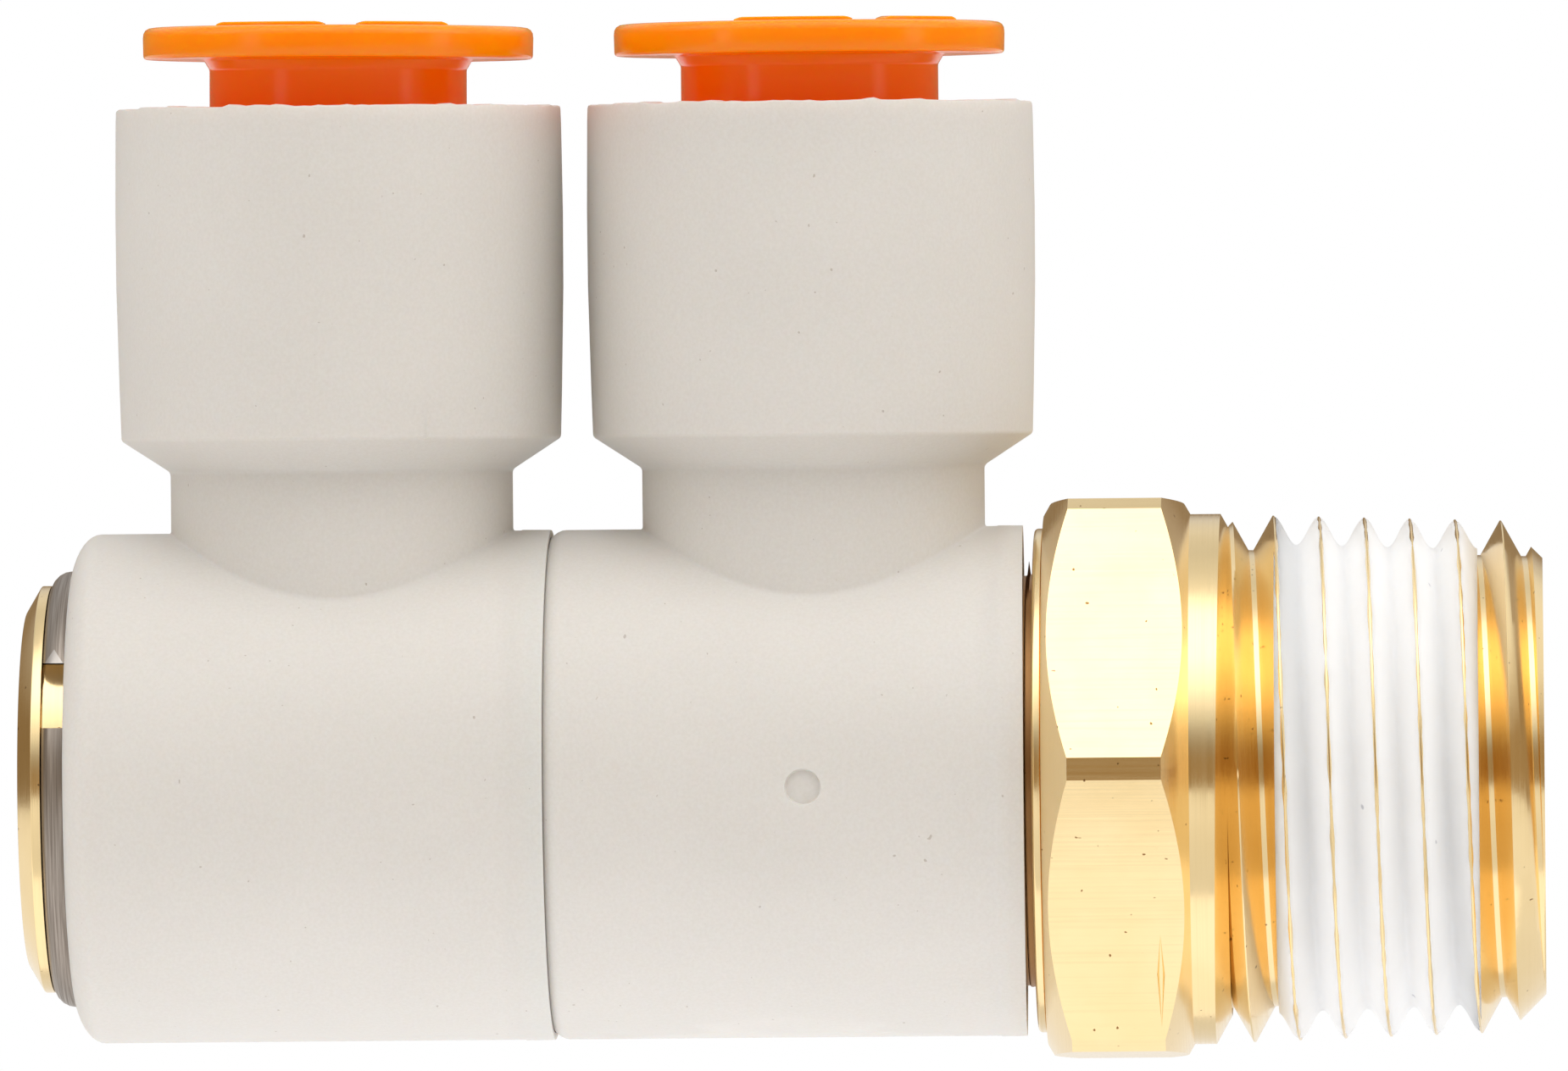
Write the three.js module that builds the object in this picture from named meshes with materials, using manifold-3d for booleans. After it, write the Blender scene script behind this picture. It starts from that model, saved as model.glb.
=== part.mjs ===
// A double swivel elbow: a push-fit coupling that takes air from one threaded port to two tubes.
//
// One hollow brass stud carries everything. Its taper pipe thread and hexagon are at the +X end.
// Two identical plastic elbows turn on its shaft, each between two O-rings, and a round wire
// ring at the closed end keeps them on. Each elbow has a socket that points up, for a tube of
// 3/8 in. From the bottom up, the socket holds a rubber seal, a spacer, a toothed grab ring, a
// collet, a steel guide sleeve, and the orange release button that is pressed to free the tube.
//
// Millimetres, +Z up. The stud's axis is the X axis, and the sockets point along +Z. The origin
// is where the thread's side of the hexagon meets that axis, because the thread holds the part.

import * as THREE from 'three';
import { mergeVertices } from 'three/addons/utils/BufferGeometryUtils.js';
import Module from 'manifold-3d';

const wasm = await Module();
wasm.setup();

// ---------------------------------------------------------------- driving dimensions

// Thread and hexagon
const THREAD_PITCH = 25.4 / 14;      // 1/2 in taper pipe thread, 14 turns to the inch
const THREAD_TAPER = 1 / 32;         // radius lost for each millimetre of length
const THREAD_RADIUS = 10.55;         // crest radius at the collar
const THREAD_DEPTH = 1.4;
const THREAD_LENGTH = 12.55;
const ROOT_SHARE = 0.14;             // share of the pitch taken by the flat root
const END_RADIUS = 8.7;              // radius at the thread's free end, where its chamfer starts
const HEX_ACROSS_FLATS = 22;
const HEX_CORNER_RADIUS = 12.45;     // the hexagon's corners are turned down to this
const HEX_LENGTH = 5.85;
const HEX_TURN = THREE.MathUtils.degToRad(-3);    // about +X, from flats at the top and bottom
const HEX_FACE_RADIUS = 10.6;        // where the chamfers leave the hexagon's two ends
const HEX_CHAMFER_SLOPE = Math.tan(THREE.MathUtils.degToRad(30));
const COLLAR_LENGTH = 1.5;
const COLLAR_RADIUS = 10.6;
const RELIEF_RADIUS = 9.77;          // floor of the V groove between the collar and the thread
const RELIEF_HALF_WIDTH = 0.6;
const SEALANT_START = 1.88;          // from the thread's start to the sealant's two square ends
const SEALANT_LENGTH = 8.07;
const SEALANT_EDGE = 0.1;            // bare share of the pitch on each side of a crest
const SEALANT_GAP = 0.03;            // between the brass and the sealant
const SEALANT_FILL = 0.45;           // thickness over the groove's root

// Shaft, measured as stations along the stud from its closed end
const END_FACE_RADIUS = 7.13;
const LIP_RADIUS = 8.15;
const LIP_START = 0.6;
const LIP_END = 0.98;
const SHAFT_RADIUS = 8.2;
const SHOULDER_START = 40.35;        // thrust shoulder against the second elbow
const SHOULDER_RADIUS = 10.08;
const SHOULDER_LENGTH = 0.4;
const STUD_BORE_RADIUS = 5;
const MOUTH_BORE_RADIUS = 6;
const MOUTH_BORE_LENGTH = 17;
const MOUTH_CHAMFER = 0.5;
const BORE_STEP = 0.6;               // length of the cone between the two bores
const DRILL_CONE = 2;                // length of the cone at the bore's blind end
const CROSS_HOLE_RADIUS = 3;

// Retaining ring: round wire, sprung into a groove behind the lip
const WIRE_RADIUS = 0.8;
const RING_RADIUS = 7.93;            // to the middle of the wire
const RING_STATION = 1.83;
const RING_GROOVE_WIDTH = 1.77;
const RING_GROOVE_RADIUS = 7.0;
const RING_GAP_CENTRE = THREE.MathUtils.degToRad(63.4);   // turned about +X from straight up
const RING_GAP_ANGLE = THREE.MathUtils.degToRad(19);

// Elbows: the barrel lies along X about the stud, the socket stands along Z
const BARREL_RADIUS = 10.2;
const BARREL_LEFT = 10.83;           // from the socket's axis to the rounded end
const BARREL_RIGHT = 8.47;           // from the socket's axis to the square end
const BARREL_BORE_RADIUS = 8.3;
const NOSE_LENGTH = 1.15;            // the rounded end is a quarter ellipse
const NOSE_DEPTH = 2.1;
const RING_SEAT_RADIUS = 8.84;       // counterbore that holds the wire in its groove
const RING_SEAT_DEPTH = 1.0;
const TUCK_RADIUS = 9.9;             // shallow recess in the square end for the next nose
const TUCK_DEPTH = 0.5;
const FIRST_SOCKET = 12.63;          // station of the first socket's axis
const ELBOW_PITCH = 18.9;
const NECK_RADIUS = 6.85;
const NECK_TOP = 12.6;               // heights above the stud's axis
const HEAD_BOTTOM = 13.9;
const HEAD_TOP = 27.2;
const HEAD_RADIUS = 8.9;
const HEAD_BOTTOM_RADIUS = 8.8;
const PASSAGE_RADIUS = 3.7;
const TUBE_STOP = 12.0;
const TUBE_BORE_RADIUS = 4.9;        // takes tube of 9.53 mm
const POCKET_BOTTOM = 17.2;
const POCKET_RADIUS = 7.6;

// O-rings on the shaft, two to an elbow, as distances from the socket's axis
const O_RING_OFFSETS = [-7.13, 6.67];
const O_RING_RADIUS = 7.45;
const O_RING_CORD_RADIUS = 0.78;
const O_RING_GROOVE_RADIUS = 6.6;
const O_RING_GROOVE_WIDTH = 2.2;
const CHAMBER_HALF_LENGTH = 4.6;     // annular space that feeds the socket at any angle
const CHAMBER_RADIUS = 6.4;

// Release button
const BUTTON_BORE_RADIUS = 4.82;
const BUTTON_NECK_RADIUS = 5.15;
const BUTTON_FLANGE_RADIUS = 7.8;
const BUTTON_FLANGE_BOTTOM = 29.13;
const BUTTON_TOP = 30.52;
const BUTTON_SKIRT_BOTTOM = 23.6;
const BUTTON_BEAD_RADIUS = 5.42;

// Facets
const SHAFT_SIDES = 28;
const HEX_ENVELOPE_SIDES = 48;
const CROSS_HOLE_SIDES = 12;
const ELBOW_SIDES = 32;
const BUTTON_SIDES = 28;
const INSERT_SIDES = 20;
const O_RING_SIDES = 24;

// ---------------------------------------------------------------- derived sizes

const HEX_START = SHOULDER_START + SHOULDER_LENGTH;
const HEX_END = HEX_START + HEX_LENGTH;
const THREAD_START = HEX_END + COLLAR_LENGTH;
const STUD_LENGTH = THREAD_START + THREAD_LENGTH;
const SOCKET_STATIONS = [FIRST_SOCKET, FIRST_SOCKET + ELBOW_PITCH];
const FULL_TURN = Math.PI * 2;
const MERGE_DISTANCE = 1e-4;

// ---------------------------------------------------------------- materials

const finish = (color, roughness, metalness) =>
  new THREE.MeshStandardMaterial({ color, roughness, metalness });

const brass = finish(0xd9b15a, 0.28, 1);
const bodyPlastic = finish(0xdedad2, 0.6, 0);
const buttonPlastic = finish(0xff6f14, 0.35, 0);
const collarPlastic = finish(0xf1efe9, 0.5, 0);
const rubber = finish(0x1c1c1d, 0.8, 0);
const springSteel = finish(0x77706c, 0.35, 1);
const stainless = finish(0xc4c6c8, 0.25, 1);
const sealant = finish(0xf4f4f2, 0.55, 0);

// ---------------------------------------------------------------- solids from geometry

// A closed manifold-3d solid from a three.js geometry, with its shared corners merged.
function solidOf(geometry) {
  const bare = new THREE.BufferGeometry();
  bare.setAttribute('position', geometry.getAttribute('position').clone());
  if (geometry.index) bare.setIndex(geometry.index.clone());
  const merged = mergeVertices(bare, MERGE_DISTANCE);
  const kept = [];
  const corners = merged.index.array;
  for (let i = 0; i < corners.length; i += 3) {
    const [a, b, c] = corners.subarray(i, i + 3);
    if (a !== b && b !== c && c !== a) kept.push(a, b, c);
  }
  return new wasm.Manifold(new wasm.Mesh({
    numProp: 3,
    vertProperties: merged.getAttribute('position').array,
    triVerts: new Uint32Array(kept),
  }));
}

function geometryOf(solid) {
  const { vertProperties, triVerts } = solid.getMesh();
  const geometry = new THREE.BufferGeometry();
  geometry.setAttribute('position', new THREE.BufferAttribute(vertProperties, 3));
  geometry.setIndex(new THREE.BufferAttribute(triVerts, 1));
  return geometry;
}

const combine = (geometries, how) =>
  geometryOf(geometries.map(solidOf).reduce((all, next) => all[how](next)));
const join = (...geometries) => combine(geometries, 'add');
const cut = (...geometries) => combine(geometries, 'subtract');
const common = (...geometries) => combine(geometries, 'intersect');
const closed = (geometry) => geometryOf(solidOf(geometry));

// ---------------------------------------------------------------- shapes

// A closed outline of [radius, height] pairs turned about Y.
function turned(outline, sides) {
  const points = outline.map(([radius, height]) => new THREE.Vector2(radius, height));
  if (THREE.ShapeUtils.area(points) < 0) points.reverse();
  return new THREE.LatheGeometry([...points, points[0]], sides);
}

const turnedAboutX = (outline, sides) => turned(outline, sides).rotateZ(-Math.PI / 2);
const turnedAboutZ = (outline, sides) => turned(outline, sides).rotateX(Math.PI / 2);

// A plain rod from one height to another, as the outline of a turned shape.
const rod = (radius, from, to) => [[0, from], [radius, from], [radius, to], [0, to]];

// A point at a station on the stud, at a radius and an angle turned about +X from straight up.
const aboutStud = (station, radius, angle) =>
  new THREE.Vector3(station, -radius * Math.sin(angle), radius * Math.cos(angle));

// ---------------------------------------------------------------- thread

const crestRadius = (station) => THREAD_RADIUS - THREAD_TAPER * (station - THREAD_START);

// Where the flanks meet the flat root, as shares of the pitch from one crest.
const ROOT_PHASES = [0.5 - ROOT_SHARE / 2, 0.5 + ROOT_SHARE / 2];
const PROFILE_PHASES = [0, ...ROOT_PHASES];

// The thread's radius at a share of the pitch from the last crest.
function threadRadius(station, phase) {
  const fromCrest = Math.min(phase, 1 - phase);
  return crestRadius(station) - THREAD_DEPTH * Math.min(fromCrest / ROOT_PHASES[0], 1);
}

// A right-hand thread as a closed solid: each column of the grid is the profile at one angle.
function threadSolid() {
  const turns = Math.ceil(THREAD_LENGTH / THREAD_PITCH) + 1;
  const rows = [];
  for (let turn = -1; turn < turns; turn++) {
    PROFILE_PHASES.forEach((phase) => rows.push(turn + phase));
  }
  const positions = [];
  for (let column = 0; column <= SHAFT_SIDES; column++) {
    const share = column / SHAFT_SIDES;
    const angle = share * FULL_TURN;
    positions.push(...aboutStud(THREAD_START, 0, angle).toArray());
    rows.forEach((row) => {
      const wanted = THREAD_START + THREAD_PITCH * (row + share);
      const station = THREE.MathUtils.clamp(wanted, THREAD_START, STUD_LENGTH);
      const pitches = (station - THREAD_START) / THREAD_PITCH - share;
      const phase = THREE.MathUtils.euclideanModulo(pitches, 1);
      positions.push(...aboutStud(station, threadRadius(station, phase), angle).toArray());
    });
    positions.push(...aboutStud(STUD_LENGTH, 0, angle).toArray());
  }
  const columnLength = rows.length + 2;
  const faces = [];
  for (let column = 0; column < SHAFT_SIDES; column++) {
    for (let row = 0; row < columnLength - 1; row++) {
      const here = column * columnLength + row;
      const next = here + columnLength;
      faces.push(here, next, here + 1, next + 1, here + 1, next);
    }
  }
  const geometry = new THREE.BufferGeometry();
  geometry.setAttribute('position', new THREE.Float32BufferAttribute(positions, 3));
  geometry.setIndex(faces);
  return geometry;
}

// Dry sealant laid in the groove, as a helical strip that leaves the crests bare. It is cut
// square where the band of sealant starts and ends.
function threadSealant() {
  const firstTurn = SEALANT_START / THREAD_PITCH - 1;
  const lastTurn = (SEALANT_START + SEALANT_LENGTH) / THREAD_PITCH;
  const first = Math.floor(firstTurn * SHAFT_SIDES);
  const last = Math.ceil(lastTurn * SHAFT_SIDES);
  const section = [SEALANT_EDGE, ...ROOT_PHASES, 1 - SEALANT_EDGE, 0.5];
  const positions = [];
  for (let step = first; step <= last; step++) {
    const turn = step / SHAFT_SIDES;
    section.forEach((phase, i) => {
      const station = THREAD_START + THREAD_PITCH * (turn + phase);
      const lift = i === section.length - 1 ? SEALANT_FILL : SEALANT_GAP;
      const radius = threadRadius(station, phase) + lift;
      positions.push(...aboutStud(station, radius, turn * FULL_TURN).toArray());
    });
  }
  const corners = section.length;
  const faces = [];
  for (let step = 0; step < last - first; step++) {
    for (let i = 0; i < corners; i++) {
      const a = step * corners + i;
      const b = step * corners + (i + 1) % corners;
      faces.push(a, b, a + corners, b, b + corners, a + corners);
    }
  }
  const end = (last - first) * corners;
  for (let i = 1; i < corners - 1; i++) {
    faces.push(0, i + 1, i);
    faces.push(end, end + i, end + i + 1);
  }
  const strip = new THREE.BufferGeometry();
  strip.setAttribute('position', new THREE.Float32BufferAttribute(positions, 3));
  strip.setIndex(faces);
  const bandStart = THREAD_START + SEALANT_START;
  const band = rod(COLLAR_RADIUS, bandStart, bandStart + SEALANT_LENGTH);
  return common(strip, turnedAboutX(band, SHAFT_SIDES));
}

// ---------------------------------------------------------------- stud

// The outline of a groove in the shaft, as four points of the shaft's own outline.
const groove = (from, to, floor) => [
  [SHAFT_RADIUS, from], [floor, from], [floor, to], [SHAFT_RADIUS, to],
];

function shaftOutline() {
  const lipChamfer = [[END_FACE_RADIUS, 0], [LIP_RADIUS, LIP_START]];
  const ringGroove = groove(LIP_END, LIP_END + RING_GROOVE_WIDTH, RING_GROOVE_RADIUS).slice(1);
  const outline = [[0, 0], ...lipChamfer, [LIP_RADIUS, LIP_END], ...ringGroove];
  SOCKET_STATIONS.forEach((socket) => {
    const [before, after] = O_RING_OFFSETS.map((offset) => groove(
      socket + offset - O_RING_GROOVE_WIDTH / 2,
      socket + offset + O_RING_GROOVE_WIDTH / 2,
      O_RING_GROOVE_RADIUS,
    ));
    const chamber = groove(
      socket - CHAMBER_HALF_LENGTH, socket + CHAMBER_HALF_LENGTH, CHAMBER_RADIUS,
    );
    outline.push(...before, ...chamber, ...after);
  });
  outline.push(
    [SHAFT_RADIUS, SHOULDER_START], [SHOULDER_RADIUS, SHOULDER_START],
    [SHOULDER_RADIUS, HEX_END], [COLLAR_RADIUS, HEX_END],
    [COLLAR_RADIUS, THREAD_START], [0, THREAD_START],
  );
  return outline;
}

// A hexagon with its corners turned down and its two ends chamfered.
function hexagon() {
  const sharpRadius = HEX_ACROSS_FLATS / 2 / Math.cos(Math.PI / 6);
  const corners = Array.from({ length: 6 }, (_, i) => {
    const angle = (i * Math.PI) / 3;
    return new THREE.Vector2(Math.cos(angle), Math.sin(angle)).multiplyScalar(sharpRadius);
  });
  const shape = new THREE.Shape(corners);
  // The shape's x becomes the part's Y, its y becomes Z, and its depth runs along X.
  const prism = new THREE.ExtrudeGeometry(shape, { depth: HEX_LENGTH, bevelEnabled: false })
    .rotateX(Math.PI / 2)
    .rotateZ(Math.PI / 2)
    .rotateX(HEX_TURN)
    .translate(HEX_START, 0, 0);
  const chamferLength = (HEX_CORNER_RADIUS - HEX_FACE_RADIUS) * HEX_CHAMFER_SLOPE;
  const envelope = turnedAboutX([
    [0, HEX_START], [HEX_FACE_RADIUS, HEX_START],
    [HEX_CORNER_RADIUS, HEX_START + chamferLength],
    [HEX_CORNER_RADIUS, HEX_END - chamferLength],
    [HEX_FACE_RADIUS, HEX_END], [0, HEX_END],
  ], HEX_ENVELOPE_SIDES);
  return common(prism, envelope);
}

function stud() {
  const clear = COLLAR_RADIUS + 1;
  const threadChamfer = turnedAboutX([
    [0, THREAD_START], [clear, THREAD_START],
    [clear, STUD_LENGTH - (clear - END_RADIUS)],
    [END_RADIUS, STUD_LENGTH], [0, STUD_LENGTH],
  ], SHAFT_SIDES);
  const outside = join(
    turnedAboutX(shaftOutline(), SHAFT_SIDES),
    hexagon(),
    common(threadSolid(), threadChamfer),
  );
  const reliefSlope = (COLLAR_RADIUS - RELIEF_RADIUS) / RELIEF_HALF_WIDTH;
  const reliefHalfWidth = (clear - RELIEF_RADIUS) / reliefSlope;
  const relief = turnedAboutX([
    [RELIEF_RADIUS, THREAD_START], [clear, THREAD_START - reliefHalfWidth],
    [clear, THREAD_START + reliefHalfWidth],
  ], SHAFT_SIDES);
  const mouthStart = STUD_LENGTH - MOUTH_BORE_LENGTH;
  const boreEnd = FIRST_SOCKET - CROSS_HOLE_RADIUS - 1;
  const bore = turnedAboutX([
    [0, boreEnd - DRILL_CONE], [STUD_BORE_RADIUS, boreEnd], [STUD_BORE_RADIUS, mouthStart],
    [MOUTH_BORE_RADIUS, mouthStart + BORE_STEP], [MOUTH_BORE_RADIUS, STUD_LENGTH - MOUTH_CHAMFER],
    [MOUTH_BORE_RADIUS + 2 * MOUTH_CHAMFER, STUD_LENGTH + MOUTH_CHAMFER],
    [0, STUD_LENGTH + MOUTH_CHAMFER],
  ], SHAFT_SIDES);
  const crossHoles = SOCKET_STATIONS.flatMap((station) => [0, Math.PI / 2].map((angle) =>
    turnedAboutZ(rod(CROSS_HOLE_RADIUS, -SHAFT_RADIUS, SHAFT_RADIUS), CROSS_HOLE_SIDES)
      .rotateX(angle)
      .translate(station, 0, 0)));
  return cut(outside, relief, bore, ...crossHoles);
}

// ---------------------------------------------------------------- rings on the stud

class ArcAboutStud extends THREE.Curve {
  constructor(station, radius, from, to) {
    super();
    Object.assign(this, { station, radius, from, to });
  }

  getPoint(t, target = new THREE.Vector3()) {
    const angle = THREE.MathUtils.lerp(this.from, this.to, t);
    return target.copy(aboutStud(this.station, this.radius, angle));
  }
}

function retainingRing() {
  const from = RING_GAP_CENTRE + RING_GAP_ANGLE / 2;
  const path = new ArcAboutStud(RING_STATION, RING_RADIUS, from, from + FULL_TURN - RING_GAP_ANGLE);
  const section = new THREE.Shape().absarc(0, 0, WIRE_RADIUS, 0, FULL_TURN);
  return closed(new THREE.ExtrudeGeometry(section, {
    steps: 30, curveSegments: 5, extrudePath: path, bevelEnabled: false,
  }));
}

const oRing = (station) =>
  closed(new THREE.TorusGeometry(O_RING_RADIUS, O_RING_CORD_RADIUS, 6, O_RING_SIDES)
    .rotateY(Math.PI / 2)
    .translate(station, 0, 0));

// ---------------------------------------------------------------- elbow
// An elbow and all that its socket holds are made with the socket's axis on Z and the stud's
// axis on X.

function barrelOutline() {
  const noseRadius = (angle) => BARREL_RADIUS - NOSE_DEPTH * (1 - Math.sin(angle));
  const noseStation = (angle) => -BARREL_LEFT + NOSE_LENGTH * (1 - Math.cos(angle));
  const seatAngle = Math.asin(1 - (BARREL_RADIUS - RING_SEAT_RADIUS) / NOSE_DEPTH);
  const steps = 5;
  const nose = Array.from({ length: steps + 1 }, (_, i) => {
    const angle = THREE.MathUtils.lerp(seatAngle, Math.PI / 2, i / steps);
    return [noseRadius(angle), noseStation(angle)];
  });
  const seatEnd = -BARREL_LEFT + RING_SEAT_DEPTH;
  return [
    ...nose, [BARREL_RADIUS, BARREL_RIGHT],
    [TUCK_RADIUS, BARREL_RIGHT], [TUCK_RADIUS, BARREL_RIGHT - TUCK_DEPTH],
    [BARREL_BORE_RADIUS, BARREL_RIGHT - TUCK_DEPTH], [BARREL_BORE_RADIUS, seatEnd],
    [RING_SEAT_RADIUS, seatEnd],
  ];
}

function elbowBody() {
  const edge = 0.1;
  const socket = turnedAboutZ([
    [0, BARREL_BORE_RADIUS / 2], [NECK_RADIUS, BARREL_BORE_RADIUS / 2], [NECK_RADIUS, NECK_TOP],
    [NECK_RADIUS + 0.4, NECK_TOP + 0.4], [HEAD_BOTTOM_RADIUS, HEAD_BOTTOM],
    [HEAD_RADIUS + 0.05, (HEAD_BOTTOM + HEAD_TOP) / 2],
    [HEAD_RADIUS, HEAD_TOP - edge], [HEAD_RADIUS - edge, HEAD_TOP], [0, HEAD_TOP],
  ], ELBOW_SIDES);
  const barrel = turnedAboutX(rod(BARREL_RADIUS - NOSE_DEPTH, -BARREL_LEFT + NOSE_LENGTH,
    BARREL_RIGHT - 1), ELBOW_SIDES);
  const insides = turnedAboutZ([
    [0, 0], [PASSAGE_RADIUS, 0], [PASSAGE_RADIUS, TUBE_STOP], [TUBE_BORE_RADIUS, TUBE_STOP],
    [TUBE_BORE_RADIUS, POCKET_BOTTOM], [POCKET_RADIUS, POCKET_BOTTOM],
    [POCKET_RADIUS, HEAD_TOP + 1], [0, HEAD_TOP + 1],
  ], ELBOW_SIDES);
  const shell = turnedAboutX(barrelOutline(), ELBOW_SIDES);
  const bore = turnedAboutX(rod(BARREL_BORE_RADIUS, -BARREL_LEFT - 1, BARREL_RIGHT + 1), ELBOW_SIDES);
  return cut(join(shell, barrel, socket), bore, insides);
}

// ---------------------------------------------------------------- what a socket holds

const insert = (outline) => closed(turnedAboutZ(outline, INSERT_SIDES));

const tubeSeal = () => insert([
  [7.5, 17.3], [7.5, 20.0], [6.6, 20.0], [6.2, 18.6], [5.4, 19.8], [4.62, 19.2], [5.0, 17.3],
]);

const sealSpacer = () => insert([
  [6.9, 20.15], [6.9, 22.2], [6.25, 22.2], [6.05, 20.6], [5.0, 20.6], [5.0, 20.15],
]);

// A thin ring whose cone of teeth slopes down towards the tube.
function grabRing() {
  const teeth = 8;
  const ring = turnedAboutZ([
    [6.9, 22.35], [6.9, 22.65], [6.1, 22.65], [4.7, 21.3], [4.7, 21.0], [6.1, 22.35],
  ], INSERT_SIDES);
  const slots = Array.from({ length: teeth }, (_, i) =>
    new THREE.BoxGeometry(2, 0.7, 3)
      .translate(5.0, 0, 21.6)
      .rotateZ(((i + 0.5) / teeth) * FULL_TURN));
  return cut(ring, ...slots);
}

const collet = () => insert([
  [6.9, 22.8], [6.9, 26.2], [5.3, 26.2], [5.3, 24.4], [5.8, 24.2], [5.8, 22.8],
]);

const guideSleeve = () => insert([
  [7.5, 20.15], [7.5, 26.8], [6.0, 26.8], [6.0, 26.4], [7.05, 26.4], [7.05, 20.15],
]);

function releaseButton() {
  const flangeEdge = 0.55;
  const rounded = [0, 1, 2, 3].map((i) => {
    const angle = (i / 3) * (Math.PI / 2);
    return [
      BUTTON_FLANGE_RADIUS - flangeEdge * (1 - Math.cos(angle)),
      BUTTON_TOP - flangeEdge * (1 - Math.sin(angle)),
    ];
  });
  return closed(turnedAboutZ([
    [BUTTON_BORE_RADIUS, BUTTON_SKIRT_BOTTOM], [BUTTON_NECK_RADIUS, BUTTON_SKIRT_BOTTOM],
    [BUTTON_BEAD_RADIUS, BUTTON_SKIRT_BOTTOM + 0.25], [BUTTON_BEAD_RADIUS, BUTTON_SKIRT_BOTTOM + 0.5],
    [BUTTON_NECK_RADIUS, BUTTON_SKIRT_BOTTOM + 0.55],
    [BUTTON_NECK_RADIUS, BUTTON_FLANGE_BOTTOM - 0.45],
    [BUTTON_NECK_RADIUS + 0.22, BUTTON_FLANGE_BOTTOM],
    [BUTTON_FLANGE_RADIUS, BUTTON_FLANGE_BOTTOM],
    ...rounded,
    [BUTTON_BORE_RADIUS + 0.45, BUTTON_TOP], [BUTTON_BORE_RADIUS, BUTTON_TOP - 0.45],
  ], BUTTON_SIDES));
}

// ---------------------------------------------------------------- assembly

function named(name, geometry, material) {
  const mesh = new THREE.Mesh(geometry, material);
  mesh.name = name;
  return mesh;
}

const studGroup = new THREE.Group();
studGroup.position.set(-HEX_END, 0, 0);
studGroup.add(
  named('stud', stud(), brass),
  named('thread_sealant', threadSealant(), sealant),
  named('retaining_ring', retainingRing(), springSteel),
);
SOCKET_STATIONS.flatMap((socket) => O_RING_OFFSETS.map((offset) => socket + offset))
  .forEach((station, i) => studGroup.add(named(`o_ring_${i + 1}`, oRing(station), rubber)));

const socketPieces = {
  elbow_body: [elbowBody(), bodyPlastic],
  tube_seal: [tubeSeal(), rubber],
  seal_spacer: [sealSpacer(), collarPlastic],
  grab_ring: [grabRing(), stainless],
  collet: [collet(), collarPlastic],
  guide_sleeve: [guideSleeve(), stainless],
  release_button: [releaseButton(), buttonPlastic],
};

const coupling = new THREE.Group();
coupling.add(studGroup);
SOCKET_STATIONS.forEach((station, i) => {
  const elbow = new THREE.Group();
  elbow.position.set(station - HEX_END, 0, 0);
  Object.entries(socketPieces).forEach(([name, [geometry, material]]) =>
    elbow.add(named(`${name}_${i + 1}`, geometry, material)));
  coupling.add(elbow);
});

export default coupling;
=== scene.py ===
# Looks for a double swivel elbow push-fit coupling: a brass stud with a sealed pipe thread, two
# grey plastic elbows that swivel on it, and orange release buttons over their tube sockets.
# Shapes are worked out in millimetres and scaled to metres as each piece is finished.

import math

import bmesh
import bpy
from mathutils import Matrix, Vector, noise


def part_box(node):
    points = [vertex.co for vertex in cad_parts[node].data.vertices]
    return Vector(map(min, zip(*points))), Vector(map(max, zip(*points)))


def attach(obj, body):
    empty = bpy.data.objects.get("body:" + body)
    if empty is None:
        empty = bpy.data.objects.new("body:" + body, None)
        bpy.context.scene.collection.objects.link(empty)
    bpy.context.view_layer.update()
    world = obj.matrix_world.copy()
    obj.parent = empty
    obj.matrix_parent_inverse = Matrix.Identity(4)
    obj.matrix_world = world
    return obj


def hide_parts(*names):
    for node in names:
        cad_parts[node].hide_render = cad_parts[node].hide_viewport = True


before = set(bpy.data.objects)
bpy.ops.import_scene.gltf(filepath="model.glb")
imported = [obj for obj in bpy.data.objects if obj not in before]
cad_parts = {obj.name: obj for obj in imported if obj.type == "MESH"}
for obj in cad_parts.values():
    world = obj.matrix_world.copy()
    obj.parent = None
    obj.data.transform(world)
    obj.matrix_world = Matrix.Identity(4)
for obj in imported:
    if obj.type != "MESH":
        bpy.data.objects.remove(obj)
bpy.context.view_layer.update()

# ------------------------------------------------------------------ driving dimensions

MM = 0.001
FULL_TURN = 2 * math.pi


def in_mm(node):
    """A node's lowest and highest corners, in millimetres."""
    return [[value / MM for value in corner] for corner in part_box(node)]


# The two tube sockets' axes, along X
SOCKETS = [sum(corner[0] for corner in in_mm(f"release_button_{number}")) / 2 for number in (1, 2)]

# Stud, with heights along +X
STUD_START, STUD_END = (corner[0] for corner in in_mm("stud"))
COLLAR_RADIUS = 10.6
THREAD_PITCH = 25.4 / 14
THREAD_TAPER = 1 / 32
THREAD_START = 1.5
THREAD_RADIUS = 10.57
THREAD_DEPTH = 1.4
THREAD_SLOPE = 1.8
CREST_SHARE = 0.03
THREAD_END_RADIUS = 8.72
RELIEF_RADIUS = 9.77
RELIEF_RUNOUT = 0.3
HEX_START = -5.85
HEX_FLAT_RADIUS = 11.0
HEX_CORNER_RADIUS = 12.45
HEX_FACE_RADIUS = 10.6
HEX_TURN = math.radians(-3)
HEX_CHAMFER_SLOPE = math.tan(math.radians(30))
FLANGE_RADIUS, FLANGE_LENGTH = 10.08, 0.4
SHAFT_RADIUS = 8.2
SHAFT_STEP = 0.05                     # beside the thrust flange
BURR_GAP, BURR_HEIGHT = 0.62, 0.06
SPIKE_HEIGHT, SPIKE_SHARPNESS = 0.52, 40
SEAL_OFFSETS = (-7.13, 6.67)          # of an elbow's two seals from its socket's axis
SEAL_GROOVE = (1.1, 6.6)              # half its length, and its radius
CHAMBER_GROOVE = (4.6, 6.4)
LIP_RADIUS = 8.15
LIP_START, LIP_END = 0.6, 0.98        # from the closed end
RING_GROOVE_END = 2.75
END_FACE_RADIUS = 7.13
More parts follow.
